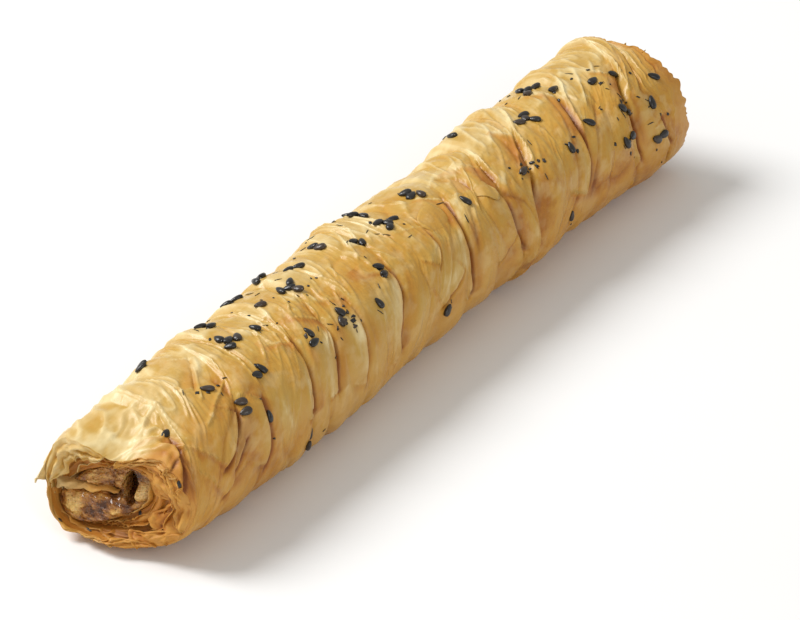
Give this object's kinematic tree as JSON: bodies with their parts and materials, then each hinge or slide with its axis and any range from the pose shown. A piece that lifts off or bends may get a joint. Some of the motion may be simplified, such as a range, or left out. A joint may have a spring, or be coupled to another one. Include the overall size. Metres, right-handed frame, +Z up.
{
  "type": "borek",
  "caption": "Long pleated roll of golden flaky pastry with an open front end showing a minced meat filling, sprinkled with black sesame seeds.",
  "frame": {"origin": "middle of the roll's footprint, on the surface it lies on", "axes": "+X along the roll from the open front end to the back end, +Y to the far side, +Z up"},
  "size_m": [0.2272, 0.0404, 0.0328],
  "materials": {
    "pastry": "baked golden, brushed with butter",
    "filling": "cooked mince, moist",
    "sesame": "dry seed, soft sheen"
  },
  "bodies": {
    "root": {"pastry": "pastry", "filling": "filling"}
  },
  "joints": []
}
